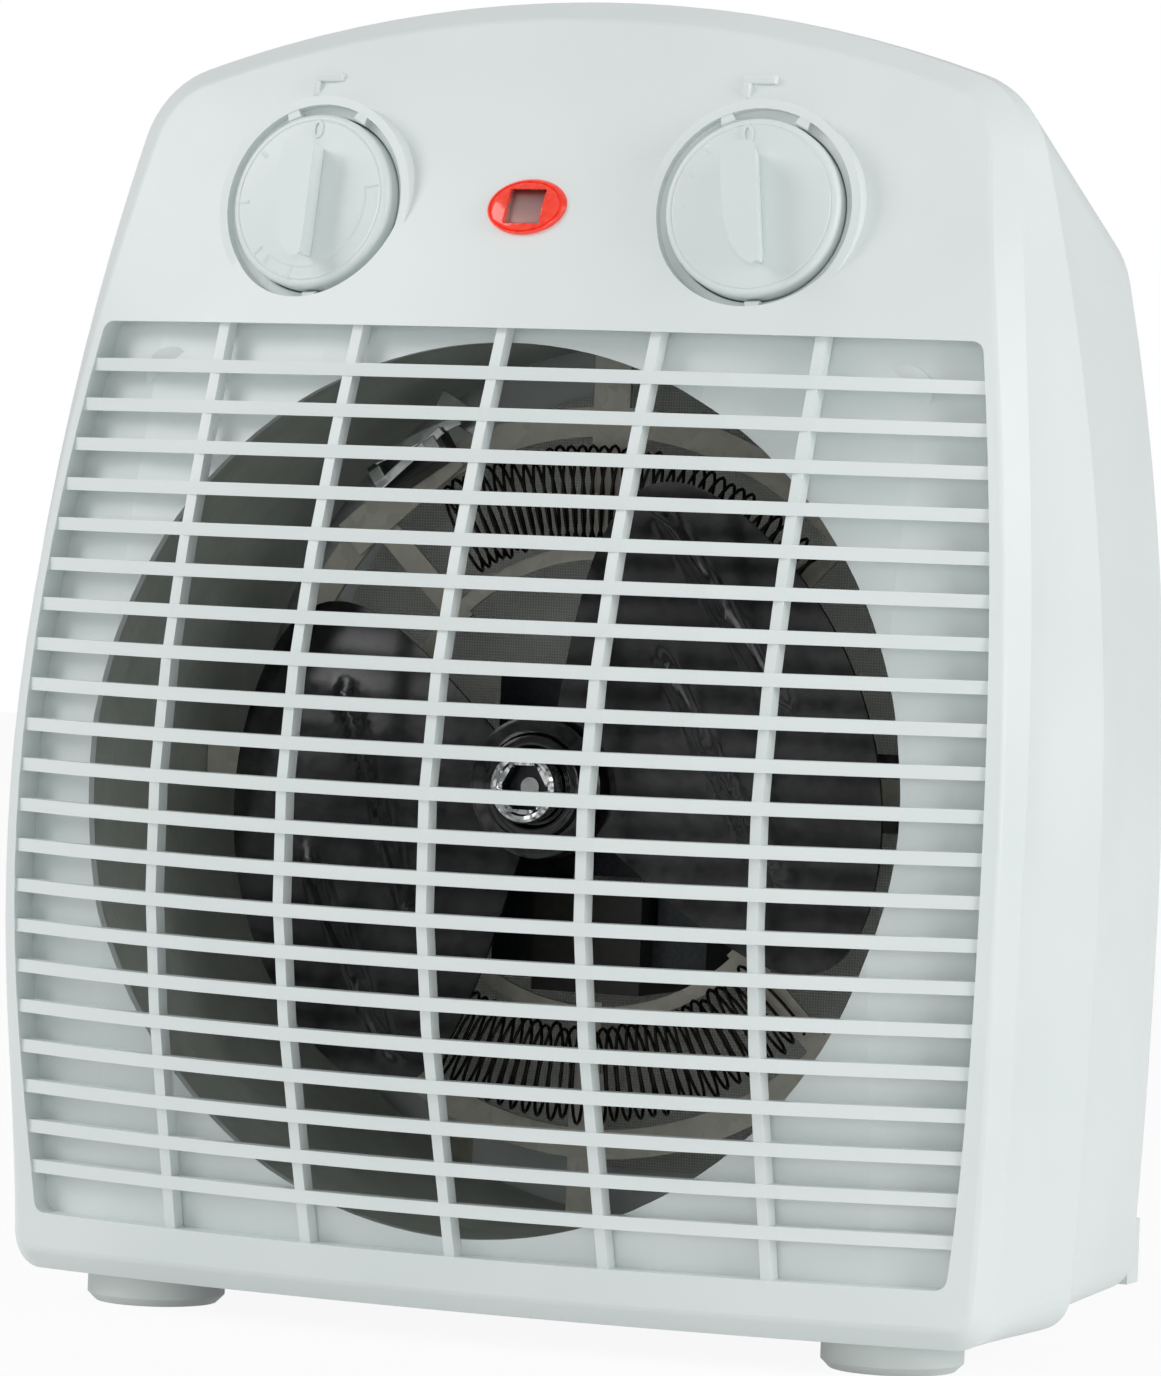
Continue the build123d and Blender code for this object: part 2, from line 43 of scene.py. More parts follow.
# Places shared with the CAD model, in millimetres and degrees
FRONT_Y = -62.5
AXIS_HEIGHT = 109.0
KNOB_X = 47.8
KNOB_SETBACK = 40.5
KNOB_HEIGHT = 224.0
KNOB_TILT = 10.0
KNOB_SPLAY = 4.0
KNOB_RADIUS = 17.8
KNOB_LOW = -7.2
KNOB_FACE = 1.5
LENS_HEIGHT = 223.6
LENS_HALF_WIDTH = 8.5
LENS_HALF_TALL = 5.6

SHARP_ANGLE = math.radians(32)


# Materials


def linear(code):
    """An sRGB hex colour as linear RGBA."""
    channels = [int(code[i : i + 2], 16) / 255 for i in (1, 3, 5)]
    return tuple(c / 12.92 if c <= 0.04045 else ((c + 0.055) / 1.055) ** 2.4 for c in channels) + (1.0,)


def add(tree, kind, inputs=None, stops=(), **settings):
    """Adds a node with its settings, and the colour stops of a ramp. An input given as a socket, or as a node
    for its first output, is linked, and any other value is set."""
    made = tree.nodes.new(kind)
    for name, value in settings.items():
        setattr(made, name, value)
    for name, value in (inputs or {}).items():
        if isinstance(value, bpy.types.Node):
            value = value.outputs[0]
        if isinstance(value, bpy.types.NodeSocket):
            tree.links.new(value, made.inputs[name])
        else:
            made.inputs[name].default_value = value
    if stops:
        elements = made.color_ramp.elements
        while len(elements) < len(stops):
            elements.new(0.5)
        for element, (place, code) in zip(elements, stops):
            element.position = place
            element.color = linear(code)
    return made


def new_material(name):
    """An empty node material with its object coordinates."""
    material = bpy.data.materials.new(name)
    material.use_nodes = True
    tree = material.node_tree
    tree.nodes.clear()
    return material, tree, add(tree, "ShaderNodeTexCoord").outputs["Object"]


def per_mm(size):
    """The scale of a pattern whose features are this many millimetres across."""
    return 1 / (size * MM)


def moulded_plastic(name, base, shade, gloss, grain_mm, grain_depth):
    """Injection-moulded plastic: a soft sheen over faint flow clouds and a fine spark-eroded grain.
    The grain is drawn coarser than the real 0.1 mm, so that it shows."""
    material, tree, place = new_material(name)
    clouds = add(tree, "ShaderNodeTexNoise", {"Vector": place, "Scale": per_mm(45.0), "Detail": 2.0})
    grain_inputs = {"Vector": place, "Scale": per_mm(grain_mm), "Detail": 2.0, "Roughness": 0.6}
    grain = add(tree, "ShaderNodeTexNoise", grain_inputs)
    wear = add(tree, "ShaderNodeTexNoise", {"Vector": place, "Scale": per_mm(12.0), "Detail": 4.0})
    rough = {"Value": wear, "To Min": gloss - 0.04, "To Max": gloss + 0.06}
    relief = {"Height": grain, "Distance": grain_depth * MM, "Strength": 0.5}
    shader = {
        "Base Color": add(tree, "ShaderNodeValToRGB", {"Fac": clouds}, [(0.3, shade), (0.7, base)]),
        "Roughness": add(tree, "ShaderNodeMapRange", rough),
        "IOR": 1.49,
        "Subsurface Weight": 0.08,
        "Subsurface Radius": (1.0, 1.0, 1.0),
        "Subsurface Scale": 0.8 * MM,
        "Normal": add(tree, "ShaderNodeBump", relief),
    }
    add(tree, "ShaderNodeOutputMaterial", {"Surface": add(tree, "ShaderNodeBsdfPrincipled", shader)})
    return material


def rolled_metal(name, bright, dull, gloss, rough, streak=(1.0, 1.0, 1.0), streak_mm=3.0, metallic=1.0):
    """Metal: streaks from rolling or drawing, faint stains from heat and a reflection that they break up."""
    material, tree, place = new_material(name)
    laid = add(tree, "ShaderNodeMapping", {"Vector": place, "Scale": streak})
    line_inputs = {"Vector": laid, "Scale": per_mm(streak_mm), "Detail": 5.0, "Roughness": 0.65}
    lines = add(tree, "ShaderNodeTexNoise", line_inputs)
    stains = add(tree, "ShaderNodeTexNoise", {"Vector": place, "Scale": per_mm(18.0), "Detail": 3.0})
    mixed = add(tree, "ShaderNodeMath", {0: lines, 1: stains}, operation="MULTIPLY")
    shader = {
        "Base Color": add(tree, "ShaderNodeValToRGB", {"Fac": mixed}, [(0.1, dull), (0.45, bright)]),
        "Metallic": metallic,
        "Roughness": add(tree, "ShaderNodeMapRange", {"Value": lines, "To Min": gloss, "To Max": rough}),
        "Normal": add(tree, "ShaderNodeBump", {"Height": lines, "Distance": 0.02 * MM, "Strength": 0.4}),
    }
    add(tree, "ShaderNodeOutputMaterial", {"Surface": add(tree, "ShaderNodeBsdfPrincipled", shader)})
    return material


def plain_polymer(name, base, shade, gloss):
    """A hard electrical plastic, tape or glass: plain, with a slight mottling in tone and sheen."""
    material, tree, place = new_material(name)
    mottle = add(tree, "ShaderNodeTexNoise", {"Vector": place, "Scale": per_mm(2.0), "Detail": 4.0})
    rough = {"Value": mottle, "To Min": gloss - 0.05, "To Max": gloss + 0.1}
    shader = {
        "Base Color": add(tree, "ShaderNodeValToRGB", {"Fac": mottle}, [(0.3, shade), (0.7, base)]),
        "Roughness": add(tree, "ShaderNodeMapRange", rough),
        "Normal": add(tree, "ShaderNodeBump", {"Height": mottle, "Distance": 0.03 * MM, "Strength": 0.3}),
    }
    add(tree, "ShaderNodeOutputMaterial", {"Surface": add(tree, "ShaderNodeBsdfPrincipled", shader)})
    return material


def mica_board(name):
    """Pressed mica board: pale grey and layered, with flakes 2.5 mm across that catch the light."""
    material, tree, place = new_material(name)
    flakes = add(tree, "ShaderNodeTexVoronoi", {"Vector": place, "Scale": per_mm(2.5)}).outputs["Color"]
    tone = add(tree, "ShaderNodeSeparateColor", {"Color": flakes})
    shader = {
        "Base Color": add(tree, "ShaderNodeValToRGB", {"Fac": tone}, [(0.0, "#bcb8ae"), (1.0, "#cbc7bd")]),
        "Roughness": add(tree, "ShaderNodeMapRange", {"Value": tone, "To Min": 0.3, "To Max": 0.6}),
        "Normal": add(tree, "ShaderNodeBump", {"Height": tone, "Distance": 0.05 * MM, "Strength": 0.4}),
    }
    add(tree, "ShaderNodeOutputMaterial", {"Surface": add(tree, "ShaderNodeBsdfPrincipled", shader)})
    return material


def pilot_lens(name):
    """Red polycarbonate over the glow lamp: a glossy red with a faint painted glow, though the lamp behind it
    is not lit.
    """
    material, tree, place = new_material(name)
    tone = add(tree, "ShaderNodeTexNoise", {"Vector": place, "Scale": per_mm(1.2), "Detail": 2.0})
    shader = {
        "Base Color": add(tree, "ShaderNodeValToRGB", {"Fac": tone}, [(0.3, "#f0382a"), (0.7, "#fa5540")]),
        "Roughness": add(tree, "ShaderNodeMapRange", {"Value": tone, "To Min": 0.06, "To Max": 0.14}),
        "IOR": 1.58,
        "Transmission Weight": 0.15,
        # Painted glow: the lens gives off a little light of its own, while the neon lamp behind it gives none
        "Emission Color": linear("#ff3a26"),
        "Emission Strength": 0.18,
    }
    add(tree, "ShaderNodeOutputMaterial", {"Surface": add(tree, "ShaderNodeBsdfPrincipled", shader)})
    return material


def lens_window(name):
    """The lens's sunk window: the dull capsule behind it shows grey, and the colour darkens upwards to a dark
    red at the upper edge, which is painted shade from the window's top wall.
    """
    material, tree, place = new_material(name)
    height = add(tree, "ShaderNodeSeparateXYZ", {"Vector": place}).outputs["Z"]
    painted_top_shade = add(tree, "ShaderNodeMapRange", {"Value": height, "From Min": 220.0 * MM, "From Max": 227.4 * MM})
    # Darker towards the top: painted shade cast by the window's upper wall
    stops = [(0.0, "#b98a84"), (0.55, "#93716e"), (0.92, "#7a3b35"), (1.0, "#5c1411")]
    shader = {"Base Color": add(tree, "ShaderNodeValToRGB", {"Fac": painted_top_shade}, stops), "Roughness": 0.3}
    add(tree, "ShaderNodeOutputMaterial", {"Surface": add(tree, "ShaderNodeBsdfPrincipled", shader)})
    return material


def woven_filter(name):
    """White polyester filter cloth: crossed threads every 0.6 mm that leave only pin holes of shade."""
    material, tree, place = new_material(name)
    # A wave at scale 1 repeats every 0.314 of a metre
    wave = {"Vector": place, "Scale": 0.314 * per_mm(0.6)}
    threads = {}
    for index, way in enumerate("XZ"):
        threads[index] = add(tree, "ShaderNodeTexWave", wave, bands_direction=way).outputs["Fac"]
    weave = add(tree, "ShaderNodeMath", threads, operation="MAXIMUM")
    shader = {
        "Base Color": add(tree, "ShaderNodeValToRGB", {"Fac": weave}, [(0.1, "#c9cac6"), (0.9, "#f2f2ee")]),
        "Roughness": 0.8,
        "Normal": add(tree, "ShaderNodeBump", {"Height": weave, "Distance": 0.2 * MM, "Strength": 0.8}),
    }
    add(tree, "ShaderNodeOutputMaterial", {"Surface": add(tree, "ShaderNodeBsdfPrincipled", shader)})
    return material


# Moulded plastics: all a cool white, the knobs a little glossier and the feet softer and duller
SHELL = moulded_plastic("white_polypropylene_moulded", "#e9efee", "#e4ebea", 0.36, 0.35, 0.02)
KNOB = moulded_plastic("white_abs_moulded_knob", "#e6edec", "#e0e8e7", 0.32, 0.25, 0.012)
FOOT = moulded_plastic("white_soft_pvc_foot", "#e2e8e6", "#d8dedc", 0.5, 0.5, 0.03)
# Aluminised sheet: pale and half dull, with rolling streaks across it
rolled = (1.0, 12.0, 1.0)
DUCT = rolled_metal("aluminised_steel_sheet", "#d5dad3", "#b4bab2", 0.4, 0.6, rolled, 3.0, 0.35)
# Polished aluminium, its colour painted dark grey: a painted reflection of the shade inside the duct
FAN = rolled_metal("polished_aluminium_painted_dark", "#4a4a4a", "#2d2d2e", 0.1, 0.2)
# Plated steel: light grey and satin where zinc, near white and sharp where nickel
STEEL = rolled_metal("zinc_plated_steel", "#c4c6c4", "#9a9c99", 0.18, 0.32)
CHROME = rolled_metal("bright_nickel_plated_steel", "#e2e4e4", "#b9bcbc", 0.06, 0.16)
# Stacked laminations: dark grey with the fine lines of their edges. The same dark grey is painted shade
# inside the hub nut's socket
stack = (1.0, 20.0, 1.0)
LAMINATION_AND_SOCKET_SHADE = rolled_metal("oxidised_lamination_steel_and_painted_socket_shade", "#4a4d50", "#303336", 0.35, 0.55, stack, 1.0)
# Nichrome that has been hot: a dull brown black
WIRE = rolled_metal("heat_tinted_nichrome_wire", "#3a3632", "#282523", 0.3, 0.45)
# Sintered bronze: porous, so brown and dull
BRONZE = rolled_metal("sintered_bronze_bearing", "#a5824f", "#7c5f36", 0.35, 0.5)
# Electrical parts: varnished black tape, cream nylon, black phenolic, the lamp's glass and a dull rubber
TAPE = plain_polymer("black_varnished_winding_tape", "#2c2a28", "#201f1d", 0.4)
NYLON = plain_polymer("natural_nylon_body", "#d9d4c4", "#cbc5b3", 0.42)
PHENOLIC = plain_polymer("black_phenolic_body", "#2a2a2b", "#1d1d1e", 0.38)
GLASS = plain_polymer("neon_lamp_glass", "#e8b39a", "#c98b70", 0.1)
RUBBER = plain_polymer("black_rubber_bush", "#232425", "#1a1b1b", 0.6)
MICA = mica_board("pressed_mica_board")
LENS = pilot_lens("red_polycarbonate_lens")
WINDOW = lens_window("lens_window_painted_top_shade")
FILTER = woven_filter("white_polyester_filter_cloth")

finishes = {
    SHELL: ["front_shell", "rear_shell"],
    FOOT: ["front_foot_left", "front_foot_right", "rear_foot_left", "rear_foot_right"],
    DUCT: ["duct_ring"],
    FAN: ["fan_propeller"],
    STEEL: [
        "fan_nut",
        "motor_shaft",
        "front_bridge",
        "rear_bridge",
        "motor_strap",
        "thermostat_spindle",
        "rotary_switch_spindle",
        "casing_screws",
    ],
    LAMINATION_AND_SOCKET_SHADE: ["motor_rotor", "motor_stator"],
    TAPE: ["motor_winding"],
    BRONZE: ["front_bearing", "rear_bearing"],
    WIRE: ["upper_heating_coil", "lower_heating_coil"],
    MICA: ["heater_frame"],
    NYLON: ["thermostat_body", "terminal_block"],
    KNOB: ["thermostat_knob", "rotary_switch_knob"],
    PHENOLIC: ["rotary_switch_body"],
    LENS: ["lamp_lens"],
    GLASS: ["neon_lamp"],
    RUBBER: ["cord_bush"],
}
for material, names in finishes.items():
    for name in names:
        mesh = nodes[name].data
        mesh.materials.clear()
        mesh.materials.append(material)


# Helpers for the pieces made here, whose points are in millimetres


def at(setback):
    """Y of a point this far behind the foremost point."""
    return FRONT_Y + setback


def ring_points(radius, count, setback):
    """A circle round the fan's axis."""
    turns = [2 * math.pi * k / count for k in range(count)]
    return [(radius * math.cos(turn), at(setback), AXIS_HEIGHT + radius * math.sin(turn)) for turn in turns]


def turned_about(corners, middle, degrees):
    """Corners turned about zero and moved to a middle, seen from the front."""
    c = math.cos(math.radians(degrees))
    d = math.sin(math.radians(degrees))
    return [(middle[0] + x * c - z * d, middle[1] + x * d + z * c) for x, z in corners]


def step_up(value, edge, width=0.12):
    """0 below an edge and 1 above it, with a soft rise."""
    t = min(max((value - edge) / width + 0.5, 0), 1)
    return t * t * (3 - 2 * t)


def inside(value, low, high, width=0.12):
    """1 between two edges and 0 outside them."""
    return step_up(value, low, width) * (1 - step_up(value, high, width))


def linked(name, data):
    """An object of the scene that shows this data."""
    piece = bpy.data.objects.new(name, data)
    bpy.context.scene.collection.objects.link(piece)
    return piece


def new_piece(name, points, faces, materials, smooth=True, place=None):
    """A mesh at the origin, from points in millimetres and an optional frame in metres."""
    mesh = bpy.data.meshes.new(name)
    mesh.from_pydata([Vector(point) * MM for point in points], [], faces)
    if place is not None:
        mesh.transform(place)
    for material in materials:
        mesh.materials.append(material)
    for polygon in mesh.polygons:
        polygon.use_smooth = smooth
    return linked(name, mesh)


def joined(name, *pieces):
    """Several pieces made one."""
    with bpy.context.temp_override(active_object=pieces[0], selected_editable_objects=list(pieces)):
        bpy.ops.object.join()
    pieces[0].name = name
    return pieces[0]


def outwards(piece):
    """Merges points that coincide, turns the faces outwards and keeps a smooth piece's edges sharp."""
    work = bmesh.new()
    work.from_mesh(piece.data)
    bmesh.ops.remove_doubles(work, verts=work.verts, dist=0.002 * MM)
    bmesh.ops.recalc_face_normals(work, faces=work.faces)
    work.to_mesh(piece.data)
    work.free()
    if piece.data.polygons[0].use_smooth:
        piece.data.set_sharp_from_angle(angle=SHARP_ANGLE)
    return piece


def bands(levels, count, closed=False):
    """Quads between loops of equal length, also from the last to the first if closed."""
    faces = []
    for level in range(levels if closed else levels - 1):
        after = (level + 1) % levels
        for k in range(count):
            n = (k + 1) % count
            faces.append((level * count + k, level * count + n, after * count + n, after * count + k))
    return faces


def stacked(name, loops, materials, place=None):
    """A closed skin through loops of equal length, capped at both ends."""
    count = len(loops[0])
    points = [point for loop in loops for point in loop]
    faces = bands(len(loops), count)
    faces.append(tuple(reversed(range(count))))
    faces.append(tuple(range((len(loops) - 1) * count, len(loops) * count)))
    return outwards(new_piece(name, points, faces, materials, True, place))


def ringed(name, loops, materials, place=None):
    """A ring whose section runs through loops of equal length and back to the first."""
    points = [point for loop in loops for point in loop]
    return outwards(new_piece(name, points, bands(len(loops), len(loops[0]), True), materials, True, place))


def slab(name, corners, near, far, material, round_mm=0.3):
    """A flat piece with softened edges, from its outline seen from the front."""
    points = [(x, at(near), z) for x, z in corners] + [(x, at(far), z) for x, z in corners]
    count = len(corners)
    faces = [tuple(range(count)), tuple(reversed(range(count, 2 * count)))]
    faces += [(k, k + count, (k + 1) % count + count, (k + 1) % count) for k in range(count)]
    piece = outwards(new_piece(name, points, faces, [material], False))
    work = bmesh.new()
    work.from_mesh(piece.data)
    softened = {"offset": round_mm * MM, "segments": 2, "profile": 0.5, "clamp_overlap": True}
    bmesh.ops.bevel(work, geom=work.edges, affect="EDGES", **softened)
    work.to_mesh(piece.data)
    work.free()
    return piece


# The two control knobs


def knob_place(side):
    """A knob's frame: X right, Y up and Z out along its axis, in metres."""
    tilt = math.radians(KNOB_TILT)
    splay = math.radians(side * KNOB_SPLAY)
    out = Vector((math.sin(splay) * math.cos(tilt), -math.cos(splay) * math.cos(tilt), math.sin(tilt)))
    across = Vector((0, 0, 1)).cross(out).normalized()
    turned = Matrix((across, out.cross(across), out)).transposed().to_4x4()
    return Matrix.Translation(Vector((side * KNOB_X, at(KNOB_SETBACK), KNOB_HEIGHT)) * MM) @ turned


def dial_depth(radius, clock, marks, band):
    """How far a knob's face is sunk at a radius and a clock angle, in degrees. Each mark is an angle, the
    radii it runs between and its height, and each step of the band its two angles, inner radius and depth."""
    rim_line = (16.15, 16.5)
    band_outer = 15.8
    mark_half_width = 0.22
    sunk = 0.22 * inside(radius, *rim_line, 0.2)
    for start, end, inner, amount in band:
        arc = math.radians(clock - start) * radius
        rest = math.radians(end - clock) * radius
        ends = step_up(arc, 0, 0.3) * step_up(rest, 0, 0.3)
        sunk += amount * inside(radius, inner, band_outer, 0.25) * ends
    for angle, inner, outer, raised in marks:
        off = math.radians(abs((clock - angle + 180) % 360 - 180)) * radius
        sunk -= raised * inside(radius, inner, outer, 0.25) * (1 - step_up(off, mark_half_width, 0.25))
    return sunk


def dial(name, side, turn, marks, band):
    """A control knob: a crowned disc with marks moulded in, a rounded rim, a grip and a 0."""
    segments = 288
    rim_round = 1.2
    crown = 0.5
    crown_reach = 16.6
    place = knob_place(side) @ Matrix.Rotation(math.radians(turn), 4, "Z")
    profile = [(10.6 + 0.16 * k, None) for k in range(38)]
    for k in range(1, 7):
        angle = math.pi / 2 * k / 6
        reach = KNOB_RADIUS - rim_round + rim_round * math.sin(angle)
        profile.append((reach, KNOB_FACE - rim_round * (1 - math.cos(angle))))
    profile += [(KNOB_RADIUS, KNOB_LOW + 0.4), (KNOB_RADIUS - 0.4, KNOB_LOW)]
    loops = []
    for radius, height in reversed(profile):
        loop = []
        for k in range(segments):
            clock = 360.0 * k / segments
            level = height
            if height is None:
                face = KNOB_FACE + crown * (1 - (radius / crown_reach) ** 2)
                level = face - dial_depth(radius, clock, marks, band)
            swing = math.radians(clock)
            loop.append((radius * math.sin(swing), radius * math.cos(swing), level))
        loops.append(loop)
    body = stacked(name + "_disc", loops, [KNOB], place)
    return joined(name, body, grip_bar(name + "_grip", place), moulded_digit(name + "_zero", place))


def grip_bar(name, place):
    """The finger grip: flat on the right, curved on the left and tapering to the bottom."""
    left = [(-1.6, 10.4), (-2.4, 9.8), (-2.7, 6.6), (-2.8, 3.0), (-2.7, -1.0), (-2.3, -4.6), (-1.4, -7.8)]
    right = [(1.0, -11.4), (1.8, -11.7), (2.2, -11.0), (2.3, -6.0), (2.3, 0.0), (2.3, 6.0), (2.3, 9.8)]
    outline = left + [(0.0, -10.2)] + right + [(1.8, 10.5)]
    smooth = []
    count = len(outline)
    for k in range(count):
        # A curve through the outline's points
        a, b, c, d = (Vector(outline[(k + j) % count]) for j in (-1, 0, 1, 2))
        for t in (0.0, 0.25, 0.5, 0.75):
            second = (2 * a - 5 * b + 4 * c - d) * t**2
            third = (3 * b - a - 3 * c + d) * t**3
            smooth.append(0.5 * (2 * b + (c - a) * t + second + third))
    count = len(smooth)
    # Height above the face, and how far the outline grows there
    levels = [(-0.6, 0.6), (0.1, 0.5), (0.3, 0.2), (0.8, 0.0), (3.0, -0.15), (5.6, -0.35)]
    levels += [(6.2, -0.5), (6.55, -0.75), (6.7, -1.1)]
    loops = []
    for height, grow in levels:
        loop = []
        for k in range(count):
            along = (smooth[(k + 1) % count] - smooth[k - 1]).normalized()
            spot = smooth[k] + Vector((-along.y, along.x)) * grow
            loop.append((spot.x, spot.y, KNOB_FACE + 0.1 + height))
        loops.append(loop)
    return stacked(name, loops, [KNOB], place)


def moulded_digit(name, place):
    """The 0 at the top of a knob, raised a little."""
    curve = bpy.data.curves.new(name, "FONT")
    curve.body = "0"
    curve.size = 5.2 * MM
    curve.align_x = "CENTER"
    curve.align_y = "CENTER"
    curve.extrude = 0.25 * MM
    curve.bevel_depth = 0.08 * MM
    curve.resolution_u = 6
    holder = linked(name, curve)
    mesh = bpy.data.meshes.new_from_object(holder.evaluated_get(bpy.context.evaluated_depsgraph_get()))
    bpy.data.objects.remove(holder)
    mesh.transform(place @ Matrix.Translation(Vector((0, 14.3, KNOB_FACE + 0.15)) * MM))
    mesh.materials.clear()
    mesh.materials.append(KNOB)
    return outwards(linked(name, mesh))


left_marks = [(-52, 14.2, 15.8, 0.25), (-92, 14.0, 16.6, 0.25)]
left_marks += [(-135, 13.6, 15.8, 0.25), (-170, 13.4, 16.6, 0.25)]
left_band = [(78, 128, 12.6, 0.35), (128, 168, 12.9, 0.25), (168, 214, 13.6, 0.16)]
thermostat = dial("thermostat_dial_moulding", -1, 0.0, left_marks, left_band)
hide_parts("thermostat_knob")
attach(thermostat, "thermostat_dial")
right_marks = [(-32, 13.6, 15.6, 0.2), (-36, 14.2, 16.2, 0.2)]
right_marks += [(-57, 13.8, 16.2, 0.16), (-83, 13.8, 16.2, 0.12)]
switch = dial("switch_dial_moulding", 1, 8.0, right_marks, [])
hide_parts("rotary_switch_knob")
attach(switch, "switch_dial")

# Mouldings that lie on the front surface, which is looked up in the CAD model's mesh
front_mesh = nodes["front_shell"].data
front_tree = BVHTree.FromPolygons(
    [vertex.co.copy() for vertex in front_mesh.vertices],
    [tuple(polygon.vertices) for polygon in front_mesh.polygons],
)


def skin(x, z):
    """Y in millimetres of the front surface seen at X and Z."""
    hit = front_tree.ray_cast(Vector((x, -200, z)) * MM, Vector((0, 1, 0)))[0]
    return hit.y / MM


def flag(name, side):
    """The small pointer moulded above each collar, at twelve o'clock."""
    raised = 0.9
    rooted = 2.0
    x = side * KNOB_X - (5.0 if side > 0 else 4.4)
    bars = [(x - 3.4, x + 3.4, 249.0, 250.8), (x - 3.0, x - 1.6, 246.0, 249.2)]
    made = []
    for index, (low_x, high_x, low_z, high_z) in enumerate(bars):
        middle_z = (low_z + high_z) / 2
        surface = min(skin(low_x, middle_z), skin(high_x, middle_z)) - FRONT_Y
        corners = [(low_x, low_z), (high_x, low_z), (high_x, high_z), (low_x, high_z)]
        made.append(slab(name + str(index), corners, surface - raised, surface + rooted, SHELL, 0.35))
    piece = joined(name, *made)
    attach(piece, "housing")
    return piece


def well_ledge(name, side):
    """The shallow ledge inside a collar, round the knob, with its three small lugs."""
    count = 128
    place = knob_place(side)
    turns = [2 * math.pi * k / count for k in range(count)]
    loops = []
    for radius, height in ((18.1, -3.4), (18.1, -2.8), (18.3, -2.6), (20.3, -2.2), (20.3, -3.4)):
        loops.append([(radius * math.cos(turn), radius * math.sin(turn), height) for turn in turns])
    made = [ringed(name, loops, [SHELL], place)]
    for clock in (-22, 26, 176):
        turn = Matrix.Rotation(math.radians(-clock), 4, "Z")
        lug = []
        for near, far, height in ((18.2, 20.2, -2.6), (18.2, 20.2, -0.6), (18.5, 20.1, -0.2)):
            lug.append([(-1.5, near, height), (1.5, near, height), (1.2, far, height), (-1.2, far, height)])
        made.append(stacked(name + str(clock), lug, [SHELL], place @ turn))
    piece = joined(name, *made)
    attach(piece, "housing")
    return piece


well_ledge("left_well_ledge", -1)
well_ledge("right_well_ledge", 1)
flag("left_collar_pointer", -1)
flag("right_collar_pointer", 1)


def lens_dome(name):
    """The pilot lens: an oval dome with a groove round it and a rectangular window sunk in its middle."""
    rings = 44
    segments = 128
    crown = 1.9
    window_depth = 1.7
    window_x = (-3.6, 3.9)
    window_z = (-3.3, 3.4)
    above = skin(0.0, LENS_HEIGHT + LENS_HALF_WIDTH)
    below = skin(0.0, LENS_HEIGHT - LENS_HALF_WIDTH)
    middle = above * 0.5 + below * 0.5
    lean = (above - below) / (2 * LENS_HALF_WIDTH)
    points = []
    for ring in range(rings + 1):
        share = ring / rings
        for k in range(segments):
            angle = 2 * math.pi * k / segments
            x = LENS_HALF_WIDTH * share * math.cos(angle)
            z = LENS_HALF_TALL * share * math.sin(angle)
            rise = crown * math.sqrt(max(1 - share**4, 0)) - 0.5 * inside(share, 0.86, 0.9, 0.03)
            rise -= window_depth * inside(x, *window_x, 0.25) * inside(z, *window_z, 0.25)
            points.append((x, middle + lean * z - rise - 0.1, LENS_HEIGHT + z))
    # The body behind the dome, a little narrower
    for x, y, z in points[-segments:]:
        points.append((0.91 * x, y + 3.0, LENS_HEIGHT + 0.91 * (z - LENS_HEIGHT)))
    faces = bands(rings + 2, segments)
    faces.append(tuple(range((rings + 1) * segments, (rings + 2) * segments)))
    piece = outwards(new_piece(name, points, faces, [LENS, WINDOW]))
    for polygon in piece.data.polygons:
        x, y, z = polygon.center / MM
        across = window_x[0] < x < window_x[1]
        upright = window_z[0] < z - LENS_HEIGHT < window_z[1]
        if across and upright and y < middle + 1.5:
            polygon.material_index = 1
    return piece


lens = lens_dome("pilot_lens_moulding")
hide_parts("lamp_lens")
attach(lens, "housing")


# Heating coils, from a node tree


